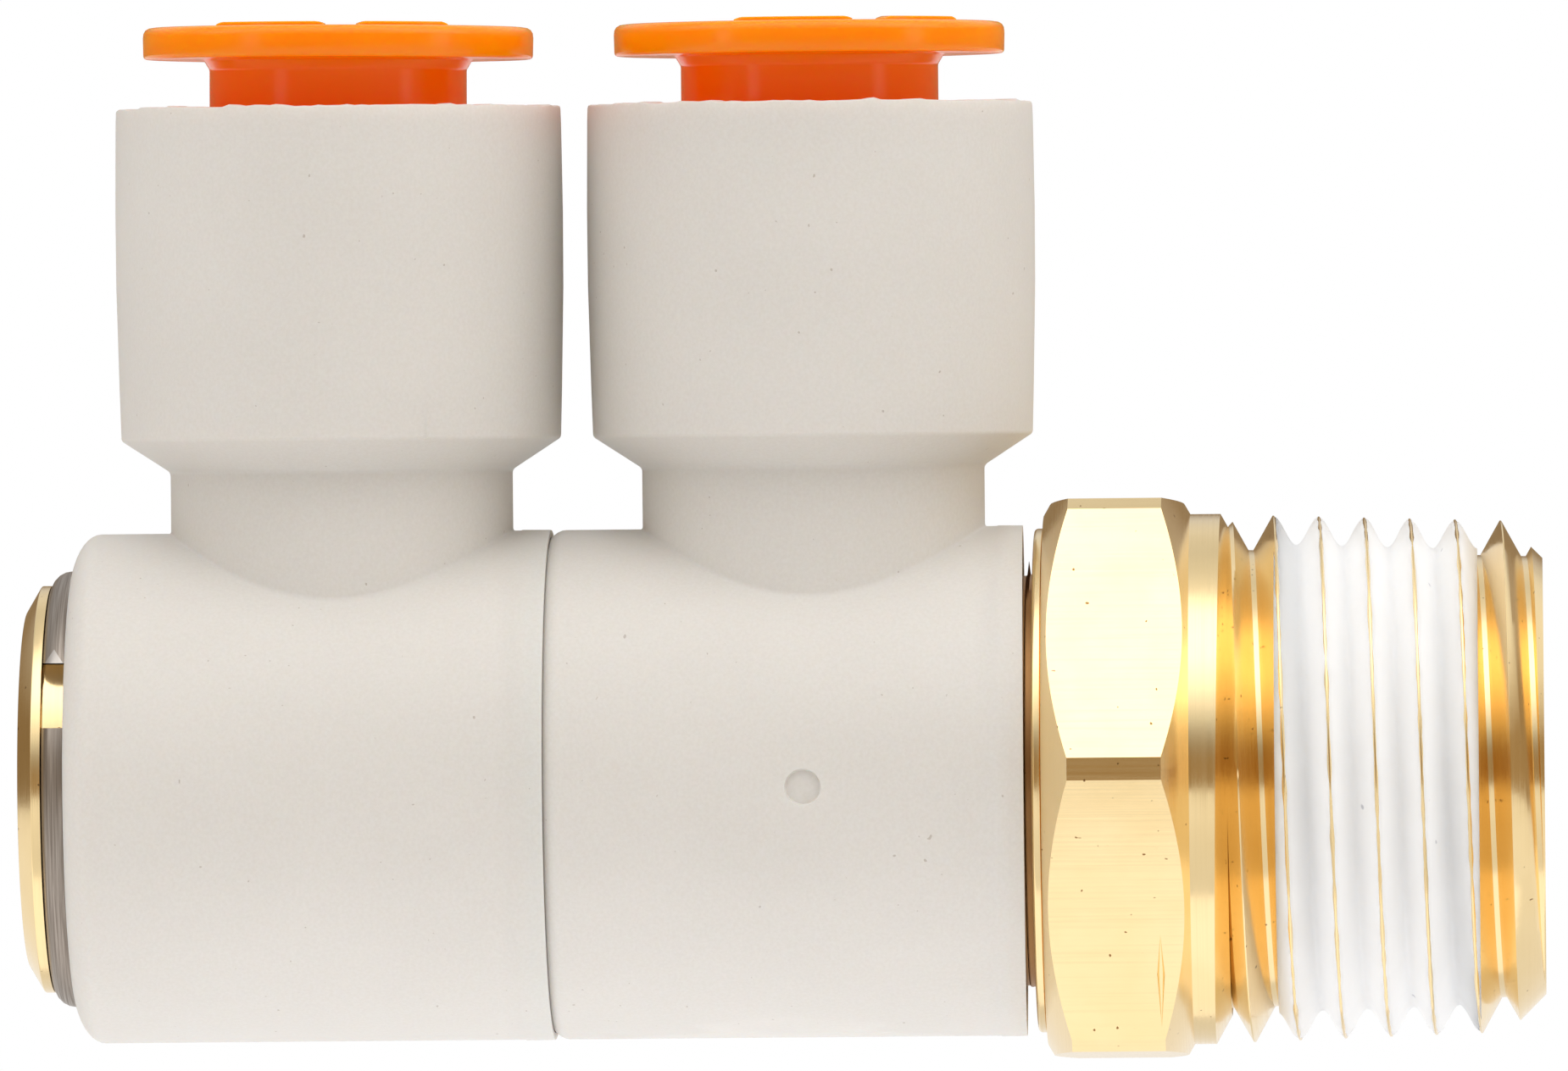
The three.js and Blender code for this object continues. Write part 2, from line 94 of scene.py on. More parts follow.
DIMPLE_RADIUS, DIMPLE_DEPTH = 0.7, 0.5
BORE_RADIUS = 5.0
BORE_STEP = 17.0                      # from the thread's end
DRILL_CONE = 2.0
MOUTH_RADIUS, MOUTH_CHAMFER = 6.0, 0.5
CROSS_HOLE_RADIUS = 3.0

# Sealant band on the thread
BAND_START, BAND_END = 3.38, 11.45
BAND_SINK = 0.05
BAND_VALLEY = 1.12

# Retaining ring
WIRE_RADIUS = 0.8
RING_RADIUS = 7.93
RING_INSIDE = 7.85                    # the wire is flat inside
RING_GROOVE_RADIUS = 7.8
RING_X = STUD_START + LIP_END + WIRE_RADIUS + 0.01
RING_GAP_LOW, RING_GAP_HIGH = 2.57, 5.13      # the cut ends are level, at these heights
FILED_LENGTH, FILED_HALF_WIDTH = 0.55, 0.38   # of the facet filed on the upper end
FILED_ASIDE = -0.3                            # of its middle, from the wire's

# Elbows, measured from the socket's axis along X and from the stud's axis along Z. The two real
# ones differ a little.
BARREL_RADIUS = 10.2
BARREL_LEFT = (10.8, 11.06)           # of the first and the second elbow
BARREL_RIGHT = (8.38, 8.53)
BARREL_BORE = 8.3
NOSE_LENGTH, NOSE_DEPTH = 1.15, 2.1
SEAT_RADIUS, SEAT_DEPTH = 8.84, 1.0
TUCK_RADIUS, TUCK_DEPTH = 9.91, 0.62
END_SLANT = 0.94                      # degrees, of the second elbow's square end
PARTING_BACK = 1.2                    # of the parting ring from the square end
NECK_RADIUS = 6.85
NECK_FILLET = 0.12
NECK_TOP = 12.65
HEAD_BOTTOM = 13.92
HEAD_BOTTOM_RADIUS = 8.8
HEAD_TOP = 27.2
POCKET_RADIUS = 7.6

# Each release button sits a little askew, by this many degrees about Y
BUTTON_TILTS = (0.45, 0.0)

# Facets
TURNED_SIDES = 128
THREAD_PHASES = 5


# ------------------------------------------------------------------ shapes

def softened(outline, steps=4):
    """An outline whose (radius, height, cut) corners are rounded, starting at cut from the corner."""
    points = []
    count = len(outline)
    for i, corner in enumerate(outline):
        here = Vector(corner[:2])
        if len(corner) == 2:
            points.append(tuple(here))
            continue
        before = here + (Vector(outline[i - 1][:2]) - here).normalized() * corner[2]
        after = here + (Vector(outline[(i + 1) % count][:2]) - here).normalized() * corner[2]
        for step in range(steps + 1):
            share = step / steps
            points.append(tuple(before.lerp(here, share).lerp(here.lerp(after, share), share)))
    return points


def spaced(points, longest, loop=True):
    """The same points with more between them, so that no two in a row are further apart than longest."""
    result = []
    ends = points[1:] + points[:1] if loop else points[1:]
    for start, end in zip(points, ends):
        steps = max(1, math.ceil(math.dist(start, end) / longest))
        result += [tuple(Vector(start).lerp(Vector(end), step / steps)) for step in range(steps)]
    return result if loop else result + [points[-1]]


def about_x(radius, height, angle):
    """A point at a height along +X and an angle turned about +X from straight up."""
    return (height, -radius * math.sin(angle), radius * math.cos(angle))


def about_socket(centre):
    """Places a point about the upright axis at X = centre, with angles turned from the front."""
    return lambda radius, height, angle: (
        centre + radius * math.sin(angle), -radius * math.cos(angle), height)


def full_turn(sides=TURNED_SIDES):
    return [FULL_TURN * side / sides for side in range(sides + 1)]


def solid(points, faces):
    """A closed mesh object, in millimetres, with shared points merged and its faces outward."""
    shape = bmesh.new()
    corners = [shape.verts.new(point) for point in points]
    for face in faces:
        shape.faces.new([corners[i] for i in face])
    bmesh.ops.remove_doubles(shape, verts=shape.verts, dist=1e-4)
    bmesh.ops.dissolve_degenerate(shape, edges=shape.edges, dist=1e-5)
    bmesh.ops.recalc_face_normals(shape, faces=shape.faces)
    mesh = bpy.data.meshes.new("solid")
    shape.to_mesh(mesh)
    shape.free()
    made = bpy.data.objects.new("solid", mesh)
    bpy.context.scene.collection.objects.link(made)
    return made


def swept(profile, place, angles, loop=True, capped=False):
    """A solid whose outline at each angle is profile(angle), placed by place(radius, height, angle)."""
    columns = [[place(*point, angle) for point in profile(angle)] for angle in angles]
    rows = len(columns[0])
    faces = []
    for column in range(len(columns) - 1):
        for row in range(rows if loop else rows - 1):
            after = (row + 1) % rows
            here, there = column * rows, (column + 1) * rows
            faces.append((here + row, here + after, there + after, there + row))
    if capped:
        faces.append(tuple(range(rows)))
        faces.append(tuple(range((len(columns) - 1) * rows, len(columns) * rows)))
    return solid([point for column in columns for point in column], faces)


def turned(outline, place, loop=True, sides=TURNED_SIDES, longest=math.inf):
    """A turned solid: the outline is a loop, or runs from the axis back to the axis."""
    points = spaced(softened(outline), longest, loop)
    return swept(lambda angle: points, place, full_turn(sides), loop)


def rod(radius, start, end, place, sides=TURNED_SIDES):
    return turned([(0, start), (radius, start), (radius, end), (0, end)], place, False, sides)


def block(low, high):
    """A box between two opposite corners."""
    points = [(x, y, z) for x in (low[0], high[0]) for y in (low[1], high[1]) for z in (low[2], high[2])]
    return solid(points, [(0, 1, 3, 2), (4, 6, 7, 5), (0, 4, 5, 1), (2, 3, 7, 6), (0, 2, 6, 4), (1, 5, 7, 3)])


def combine(first, second, operation):
    """Joins the second solid to the first, or cuts it away, and uses it up."""
    modifier = first.modifiers.new("combine", "BOOLEAN")
    modifier.operation = operation
    modifier.solver = "MANIFOLD"
    modifier.object = second
    graph = bpy.context.evaluated_depsgraph_get()
    mesh = bpy.data.meshes.new_from_object(first.evaluated_get(graph))
    first.modifiers.clear()
    first.data = mesh
    bpy.data.objects.remove(second)
    return first


def finished(made, name, slot, body, *nodes, sharp=32):
    """Scales a solid to metres, gives it its looks, and puts it in place of its CAD nodes."""
    made.name = name
    made.data.name = name
    made.data.transform(Matrix.Scale(MM, 4))
    made.data.shade_smooth()
    made.data.set_sharp_from_angle(angle=math.radians(sharp))
    made.data.materials.clear()
    made.data.materials.append(MATERIALS[slot])
    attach(made, body)
    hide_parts(*nodes)
    return made


# ------------------------------------------------------------------ material helpers

class Graph:
    """The shader graph of a material or of the world, around the shader that it ends in."""

    def __init__(self, owner, surface="Principled BSDF"):
        self.owner = owner
        self.owner.use_nodes = True
        self.tree = self.owner.node_tree
        self.surface = self.tree.nodes[surface]

    def node(self, kind, inputs=(), **settings):
        """Adds a node, sets or links the inputs given as (name or index, value) pairs."""
        made = self.tree.nodes.new("ShaderNode" + kind)
        for setting, value in settings.items():
            setattr(made, setting, value)
        for key, value in inputs:
            self.give(made.inputs[key], value)
        return made

    def give(self, socket, value):
        if isinstance(value, bpy.types.NodeSocket):
            self.tree.links.new(value, socket)
        else:
            socket.default_value = value

    def shade(self, **values):
        """Sets the inputs of the shader at the end, named with _ for a space."""
        for key, value in values.items():
            self.give(self.surface.inputs[key.replace("_", " ")], value)

    def math(self, operation, first, second=0.0, clamp=False):
        pair = [(0, first), (1, second)]
        return self.node("Math", pair, operation=operation, use_clamp=clamp).outputs[0]

    def place(self):
        return self.node("TexCoord").outputs["Object"]

    def axes(self):
        split = self.node("SeparateXYZ", [(0, self.place())])
        return split.outputs["X"], split.outputs["Y"], split.outputs["Z"]

    def grain(self, stretch=(1, 1, 1), size=0.001, detail=3.0, vector=None):
        """Noise from 0 to 1 with features of about size metres, longer where stretch is above 1."""
        mapping = self.node("Mapping", [
            ("Vector", vector or self.place()),
            ("Scale", [1 / (size * axis) for axis in stretch]),
        ])
        made = self.node("TexNoise", [
            ("Vector", mapping.outputs[0]), ("Scale", 1.0), ("Detail", detail), ("Roughness", 0.55),
        ])
        return made.outputs[0]

    def ramp(self, value, *stops):
        """A colour from a value, by (position, colour) stops. A plain number stands for a grey."""
        made = self.node("ValToRGB", [(0, value)])
        elements = made.color_ramp.elements
        while len(elements) < len(stops):
            elements.new(1.0)
        for element, (position, colour) in zip(elements, stops):
            element.position = position
            shade = colour if isinstance(colour, tuple) else (colour,) * 3
            element.color = (*shade, 1.0)
        return made.outputs[0]

    def mix(self, share, first, second, blend="MIX"):
        made = self.node("Mix", data_type="RGBA", blend_type=blend)
        self.give(made.inputs[0], share)
        for socket, value in ((made.inputs[6], first), (made.inputs[7], second)):
            self.give(socket, (*value, 1.0) if isinstance(value, tuple) else value)
        return made.outputs[2]

    def bump(self, *layers):
        """Raises the surface by each (height, metres) layer in turn."""
        normal = None
        for height, metres in layers:
            inputs = [("Height", height), ("Distance", metres), ("Strength", 1.0)]
            if normal:
                inputs.append(("Normal", normal))
            normal = self.node("Bump", inputs).outputs[0]
        self.shade(Normal=normal)

    def specks(self, size, above):
        """A mask of small sparse spots."""
        return self.ramp(self.grain(size=size, detail=0.0), (above, 0.0), (above + 0.03, 1.0))


# ------------------------------------------------------------------ materials

def brass():
    bare_middle, bare_reach, bare_radius = -0.007, 0.001, 0.0088
    graph = Graph(bpy.data.materials.new("brass"))
    x, y, z = graph.axes()
    radius = graph.math("SQRT", graph.math("ADD", graph.math("POWER", y, 2.0), graph.math("POWER", z, 2.0)))
    around = graph.math("MULTIPLY", graph.math("ARCTAN2", y, z), 0.004)
    turning = graph.node("CombineXYZ", [(0, x), (1, radius), (2, around)]).outputs[0]
    turned_lines = graph.grain((0.06, 0.06, 8), 0.001, 4.0, turning)
    drawn_lines = graph.grain((9, 0.12, 0.12), 0.001, 4.0)
    normal = graph.node("SeparateXYZ", [(0, graph.node("TexCoord").outputs["Normal"])])
    sideways = graph.math("LESS_THAN", graph.math("ABSOLUTE", normal.outputs["X"]), 0.2)
    on_hexagon = graph.math("GREATER_THAN", radius, (HEX_FLAT_RADIUS - 0.05) * MM)
    flats = graph.math("MULTIPLY", sideways, on_hexagon)
    lines = graph.mix(flats, turned_lines, drawn_lines)
    tone = graph.ramp(graph.grain(size=0.004), (0.3, (0.93, 0.705, 0.365)), (0.7, (0.97, 0.755, 0.415)))
    worn = graph.mix(graph.ramp(lines, (0.25, 0.1), (0.5, 0.0)), tone, (0.66, 0.45, 0.2))
    # The bare shaft beside the thrust flange is darker, browner and rougher.
    near_flange = graph.math("COMPARE", x, bare_middle)
    near_flange.node.inputs[2].default_value = bare_reach
    dull = graph.math("MULTIPLY", near_flange, graph.math("LESS_THAN", radius, bare_radius))
    browned = graph.mix(dull, worn, (0.5, 0.27, 0.11))
    graph.shade(
        Base_Color=graph.mix(graph.specks(0.00022, 0.84), browned, (0.3, 0.16, 0.06)),
        Metallic=1.0,
        Roughness=graph.mix(dull, graph.ramp(lines, (0.3, 0.23), (0.7, 0.12)), (0.4, 0.4, 0.4)),
    )
    graph.bump((lines, 0.0000014), (graph.grain(size=0.0016), 0.000004))
    return graph.owner


def sealant():
    graph = Graph(bpy.data.materials.new("sealant"))
    patches = graph.grain(size=0.0022, detail=4.0)
    tone = graph.ramp(patches, (0.3, (0.94, 0.935, 0.925)), (0.62, (0.97, 0.965, 0.955)))
    graph.shade(
        Base_Color=graph.mix(graph.specks(0.0007, 0.86), tone, (0.6, 0.6, 0.63)),
        Roughness=graph.ramp(patches, (0.3, 0.38), (0.7, 0.55)),
        Subsurface_Weight=1.0,
        Subsurface_Radius=(0.0024, 0.0023, 0.0022),
        Subsurface_Scale=1.0,
    )
    graph.bump((graph.grain(size=0.0007), 0.00001), (graph.grain((6, 1, 1), 0.0004), 0.000004))
    return graph.owner


def spring_steel():
    graph = Graph(bpy.data.materials.new("spring_steel"))
    x, y, z = graph.axes()
    around = graph.math("MULTIPLY", graph.math("ARCTAN2", y, z), 0.008)
    along = graph.node("CombineXYZ", [(0, x), (1, around), (2, 0.0)]).outputs[0]
    lines = graph.grain((0.07, 4, 1), 0.001, 4.0, along)
    wire = graph.ramp(lines, (0.3, (0.2, 0.165, 0.135)), (0.7, (0.42, 0.365, 0.315)))
    # The filed facet on the upper end in front is painted lighter as a highlight, in a three-cornered patch.
    above = graph.math("DIVIDE", graph.math("SUBTRACT", z, RING_GAP_HIGH * MM), FILED_LENGTH * MM)
    aside = graph.math("ABSOLUTE", graph.math("SUBTRACT", x, (RING_X + FILED_ASIDE) * MM))
    across = graph.math("DIVIDE", aside, FILED_HALF_WIDTH * MM)
    highlight_shape = graph.math("LESS_THAN", graph.math("ADD", above, across), 1.0)
    upper_end = graph.math("GREATER_THAN", above, -0.05)
    in_front = graph.math("LESS_THAN", y, 0.0)
    filed = graph.math("MULTIPLY", highlight_shape, graph.math("MULTIPLY", upper_end, in_front))
    graph.shade(
        # Painted highlight: the filed facet's patch is given a lighter colour.
        Base_Color=graph.mix(filed, wire, (0.5, 0.46, 0.42)),
        Metallic=1.0,
        Roughness=graph.ramp(lines, (0.3, 0.48), (0.7, 0.3)),
    )
    graph.bump((lines, 0.000005))
    return graph.owner


def body_plastic():
    graph = Graph(bpy.data.materials.new("body_plastic"))
    flow = graph.grain((1.6, 1.6, 1), 0.006, 3.0)
    skin = graph.grain(size=0.00014, detail=2.0)
    tone = graph.ramp(flow, (0.25, (0.7, 0.67, 0.626)), (0.75, (0.73, 0.7, 0.656)))
    mottled = graph.mix(0.5, tone, graph.ramp(skin, (0.3, 0.44), (0.7, 0.56)), "OVERLAY")
    dust = graph.math("MULTIPLY", graph.specks(0.00022, 0.86), 0.5)
    graph.shade(
        Base_Color=graph.mix(dust, mottled, (0.33, 0.26, 0.2)),
        Roughness=graph.ramp(skin, (0.3, 0.46), (0.7, 0.6)),
        Subsurface_Weight=0.25,
        Subsurface_Radius=(0.0012, 0.0007, 0.0004),
        Subsurface_Scale=1.0,
        Specular_IOR_Level=0.4,
    )
    graph.bump((graph.grain(size=0.003), 0.00001), (skin, 0.0000035))
    return graph.owner


def orange_plastic():
    neck_top, flange_bottom = 0.0287, 0.0294
    graph = Graph(bpy.data.materials.new("orange_plastic"))
    flow = graph.grain(size=0.003)
    scuffs = graph.grain((5, 5, 0.4), 0.0008, 4.0)
    # The thin neck under the flange is painted a darker, deeper orange as shade, where the flange above
    # shades it.
    flange = graph.ramp(graph.axes()[2], (neck_top, 0.0), (flange_bottom, 1.0))
    lit_flange_tone = graph.ramp(flow, (0.25, (1.0, 0.285, 0.001)), (0.75, (1.0, 0.33, 0.001)))
    tone = graph.mix(flange, (0.96, 0.15, 0.001), lit_flange_tone)
    # A faint glow of its own is painted in as emission, painted light that makes the orange brighter.
    graph.shade(
        Base_Color=tone,
        Emission_Color=tone,
        Emission_Strength=0.1,
        Roughness=graph.ramp(scuffs, (0.3, 0.1), (0.7, 0.22)),
        Subsurface_Weight=1.0,
        Subsurface_Radius=(0.0045, 0.0006, 0.0001),
        Subsurface_Scale=1.0,
        Specular_IOR_Level=0.3,
    )
    graph.bump((scuffs, 0.000003), (flow, 0.000012))
    return graph.owner


def white_plastic():
    graph = Graph(bpy.data.materials.new("white_plastic"))
    flow = graph.grain(size=0.002)
    graph.shade(
        Base_Color=graph.ramp(flow, (0.3, (0.8, 0.79, 0.75)), (0.7, (0.88, 0.87, 0.84))),
        Roughness=graph.ramp(flow, (0.3, 0.35), (0.7, 0.5)),
    )
    graph.bump((graph.grain(size=0.0004), 0.000004))
    return graph.owner


def black_rubber():
    graph = Graph(bpy.data.materials.new("black_rubber"))
    bloom = graph.grain(size=0.0012)
    graph.shade(
        Base_Color=graph.ramp(bloom, (0.3, (0.012, 0.012, 0.012)), (0.8, (0.035, 0.035, 0.036))),
        Roughness=graph.ramp(bloom, (0.3, 0.4), (0.7, 0.6)),
    )
    graph.bump((graph.grain(size=0.0002), 0.000004))
    return graph.owner


def stainless():
    graph = Graph(bpy.data.materials.new("stainless"))
    lines = graph.grain((1, 1, 0.05), 0.001, 4.0)
    graph.shade(
        Base_Color=graph.ramp(lines, (0.3, (0.55, 0.55, 0.55)), (0.7, (0.74, 0.74, 0.73))),
        Metallic=1.0,
        Roughness=graph.ramp(lines, (0.3, 0.32), (0.7, 0.2)),
    )
    graph.bump((lines, 0.000003))
    return graph.owner


MATERIALS = {make.__name__: make() for make in (
    brass, sealant, spring_steel, body_plastic, orange_plastic, white_plastic, black_rubber, stainless)}


# ------------------------------------------------------------------ stud and what it carries

def hex_radius(angle):
    """The hexagon's radius at an angle, on a flat or on a corner that is turned down."""
    from_flat = (angle - HEX_TURN + math.pi / 6) % (math.pi / 3) - math.pi / 6
    return min(HEX_FLAT_RADIUS / math.cos(from_flat), HEX_CORNER_RADIUS)


def hex_angles(steps=24):
    """Angles for a full turn, with one at each edge between a flat and a turned corner."""
    edge = math.acos(HEX_FLAT_RADIUS / HEX_CORNER_RADIUS)
    angles = []
    for flat in range(6):
        middle = HEX_TURN + flat * math.pi / 3
        angles += [middle + edge * (2 * step / steps - 1) for step in range(steps + 1)]
        angles.append(middle + math.pi / 6)
    return [*angles, angles[0] + FULL_TURN]


def hex_rows(angle, steps=4):
    radius = hex_radius(angle)
    chamfer = (radius - HEX_FACE_RADIUS) * HEX_CHAMFER_SLOPE
    start, end = HEX_START + chamfer, -chamfer
    rows = [(radius, start + (end - start) * step / steps) for step in range(steps + 1)]
    return [(HEX_FACE_RADIUS, HEX_START), *rows, (HEX_FACE_RADIUS, 0.0)]


def crest_radius(x):
    return THREAD_RADIUS - THREAD_TAPER * (x - THREAD_START)


def thread_drop(share):
    """How far the thread lies below its crest, at a share of the pitch from the crest."""
    from_crest = max(0.0, min(share, 1 - share) - CREST_SHARE / 2)
    return min(THREAD_SLOPE * THREAD_PITCH * from_crest, THREAD_DEPTH)


def thread_rows(angle):
    """The thread's outline at an angle, after a relief groove that is a little off centre."""
    relief = RELIEF_RADIUS + RELIEF_RUNOUT * math.cos(angle)
    rows = [
        (COLLAR_RADIUS, THREAD_START - (COLLAR_RADIUS - relief) / THREAD_SLOPE),
        (relief, THREAD_START),
    ]
    root = THREAD_DEPTH / THREAD_SLOPE / THREAD_PITCH + CREST_SHARE / 2
    flank = [CREST_SHARE / 2 + (root - CREST_SHARE / 2) * i / THREAD_PHASES for i in range(THREAD_PHASES + 1)]
    phases = [*flank, *[1 - share for share in reversed(flank)]]
    turns = math.ceil((STUD_END - THREAD_START) / THREAD_PITCH) + 1
    for turn in range(-1, turns):
        for phase in phases:
            wanted = THREAD_START + THREAD_PITCH * (turn + phase + angle / FULL_TURN)
            x = min(max(wanted, THREAD_START), STUD_END)
            share = ((x - THREAD_START) / THREAD_PITCH - angle / FULL_TURN) % 1.0
            wall = relief + THREAD_SLOPE * (x - THREAD_START)
            rows.append((min(crest_radius(x) - thread_drop(share), wall), x))
    return rows


def shaft_rows(angle):
    """The turned part of the stud's outline, from its closed end to the hexagon.

    A thin burr stands on it beside the thrust flange, and rises to a tall spike at the top."""
    start = STUD_START
    lip, ring_groove = start + LIP_END, start + RING_GROOVE_END
    rows = [
        (0, start + DIMPLE_DEPTH), (DIMPLE_RADIUS, start), (END_FACE_RADIUS, start, 0.04),
        (LIP_RADIUS, start + LIP_START, 0.04), (LIP_RADIUS, lip, 0.03), (RING_GROOVE_RADIUS, lip, 0.1),
        (RING_GROOVE_RADIUS, ring_groove, 0.1), (SHAFT_RADIUS, ring_groove, 0.05),
    ]
    grooves = ((SEAL_OFFSETS[0], *SEAL_GROOVE), (0, *CHAMBER_GROOVE), (SEAL_OFFSETS[1], *SEAL_GROOVE))
    for socket in SOCKETS:
        for offset, half_length, floor in grooves:
            for side, radius in ((-1, SHAFT_RADIUS), (-1, floor), (1, floor), (1, SHAFT_RADIUS)):
                rows.append((radius, socket + offset + side * half_length, 0.1))
    step = SHAFT_RADIUS + SHAFT_STEP
    burr = HEX_START - BURR_GAP
    spike = SPIKE_HEIGHT * max(0.0, math.cos(angle)) ** SPIKE_SHARPNESS
    flange = HEX_START - FLANGE_LENGTH
    rows += [
        (SHAFT_RADIUS, burr - 0.1), (step, burr - 0.06), (SHAFT_RADIUS + BURR_HEIGHT + spike, burr),
        (step, burr + 0.06), (step, flange), (FLANGE_RADIUS - 0.08, flange + 0.02, 0.06),
        (FLANGE_RADIUS, flange + 0.12, 0.05), (FLANGE_RADIUS, HEX_START - 0.06),
        (FLANGE_RADIUS - 0.1, HEX_START),
    ]
    return softened(rows)


def bore_rows():
    """The bore, from its mouth in the thread's end to the tip of the drill's cone."""
    blind_end = SOCKETS[0] - CROSS_HOLE_RADIUS - 1
    step = STUD_END - BORE_STEP
    return [
        (MOUTH_RADIUS + MOUTH_CHAMFER, STUD_END), (MOUTH_RADIUS, STUD_END - MOUTH_CHAMFER),
        (MOUTH_RADIUS, step + 0.6), (BORE_RADIUS, step), (BORE_RADIUS, blind_end),
        (0, blind_end - DRILL_CONE),
    ]


def scratch():
    """A long thin nick in the hexagon's lower front flat."""
    flat = HEX_TURN + 2 * math.pi / 3
    x, middle, half_length, half_width = -1.2, -3.2, 2.1, 0.15

    def place(outward, along, angle):
        return (x + outward * math.cos(angle), middle + along, HEX_FLAT_RADIUS + outward * math.sin(angle))

    made = turned([(0, -half_length), (half_width, 0.3), (0, half_length)], place, False, 12)
    made.data.transform(Matrix.Rotation(flat, 4, "X"))
    return made


def make_stud():
    bore = bore_rows()
    made = swept(
        lambda angle: [
            *shaft_rows(angle), *hex_rows(angle), (COLLAR_RADIUS, 0.0), *thread_rows(angle), *bore],
        about_x, hex_angles(), loop=False)
    beyond = 15.0
    chamfer = turned([
        (0, STUD_START - 1), (beyond, STUD_START - 1), (beyond, STUD_END - beyond + THREAD_END_RADIUS),
        (THREAD_END_RADIUS, STUD_END), (0, STUD_END),
    ], about_x, loop=False)
    combine(made, chamfer, "INTERSECT")
    combine(made, scratch(), "DIFFERENCE")
    for socket in SOCKETS:
        for quarter in (0, 1):
            hole = rod(CROSS_HOLE_RADIUS, -SHAFT_RADIUS, SHAFT_RADIUS, about_socket(socket), sides=48)
            hole.data.transform(Matrix.Rotation(quarter * math.pi / 2, 4, "X"))
            combine(made, hole, "DIFFERENCE")
    finished(made, "turned_stud", "brass", "stud", "stud", sharp=25)


def make_sealant():
    """A band of dried sealant over the thread, through which the crests show as bare lines."""
    steps = 72
    inside = MOUTH_RADIUS + 0.5
    lump_height, lumps_per_mm, lumps_radius = 0.07, 1.3, 9.0

    def outline(angle):
        rows = []
        for step in range(steps + 1):
            x = BAND_START + (BAND_END - BAND_START) * step / steps
            share = ((x - THREAD_START) / THREAD_PITCH - angle / FULL_TURN) % 1.0
            valley = BAND_VALLEY * (1 - math.cos(FULL_TURN * share)) / 2
            lumps = lump_height * noise.noise(Vector(about_x(lumps_radius, x, angle)) * lumps_per_mm)
            rows.append((crest_radius(x) - BAND_SINK - valley + lumps, x))
        return [(inside, BAND_START), *rows, (inside, BAND_END)]

    made = swept(outline, about_x, full_turn(180))
    finished(made, "sealant_band", "sealant", "stud", "thread_sealant", sharp=60)


def make_ring():
    """The wire ring. Both ends are cut level, and the upper one is filed a little on its outside."""
    sides = 20
    cut_depth = 0.07
    outside = RING_RADIUS + WIRE_RADIUS
    upper_end = math.acos(RING_GAP_HIGH / outside)
    gap_middle = math.acos((RING_GAP_LOW + RING_GAP_HIGH) / 2 / outside)

    def outline(angle):
        from_end = max(0.0, (upper_end - angle) * outside)
        filed = max(0.0, 1 - from_end / FILED_LENGTH) if angle < gap_middle else 0.0
        circle = []
        for side in range(sides):
            turn = FULL_TURN * side / sides
            outward = min(WIRE_RADIUS * math.cos(turn), WIRE_RADIUS - cut_depth * filed)
            radius = max(RING_RADIUS + outward, RING_INSIDE)
            circle.append((radius, RING_X + WIRE_RADIUS * math.sin(turn)))
        return circle

    made = swept(outline, about_x, full_turn(360))
    gap = block((RING_X - 1, -outside - 1, RING_GAP_LOW), (RING_X + 1, 0, RING_GAP_HIGH))
    combine(made, gap, "DIFFERENCE")
    finished(made, "wire_ring", "spring_steel", "stud", "retaining_ring")


def make_o_rings():
    cord, radius, sides = 0.78, 7.45, 16
    stations = [socket + offset for socket in SOCKETS for offset in SEAL_OFFSETS]
    for number, station in enumerate(stations, 1):
        turns = [FULL_TURN * side / sides for side in range(sides)]
        circle = [(radius + cord * math.cos(turn), station + cord * math.sin(turn)) for turn in turns]
        made = swept(lambda angle: circle, about_x, full_turn(96))
        finished(made, f"seal_ring_{number}", "black_rubber", "stud", f"o_ring_{number}")


# ------------------------------------------------------------------ elbows

def barrel(number, left, right):
    """The part of an elbow that turns on the stud: a sleeve with one round end and one square end.

    A recess in the first one's square end takes the nose of the second."""
    seat_angle = math.asin(1 - (BARREL_RADIUS - SEAT_RADIUS) / NOSE_DEPTH)
    nose_steps = 8
    nose = []
    for step in range(nose_steps + 1):
        angle = seat_angle + (math.pi / 2 - seat_angle) * step / nose_steps
        nose.append((
            BARREL_RADIUS - NOSE_DEPTH * (1 - math.sin(angle)), left + NOSE_LENGTH * (1 - math.cos(angle))))
    nose[0] = (*nose[0], 0.08)
    parting = right - PARTING_BACK
    recess = [(BARREL_BORE, right)]
    if number == 1:
        recess = [
            (TUCK_RADIUS, right, 0.03), (TUCK_RADIUS, right - TUCK_DEPTH), (BARREL_BORE, right - TUCK_DEPTH)]
    return turned([
        *nose, (BARREL_RADIUS, parting), (BARREL_RADIUS + 0.025, parting + 0.05),
        (BARREL_RADIUS + 0.015, right, 0.03), *recess, (BARREL_BORE, left + SEAT_DEPTH),
        (SEAT_RADIUS, left + SEAT_DEPTH),
    ], about_x, longest=0.8)


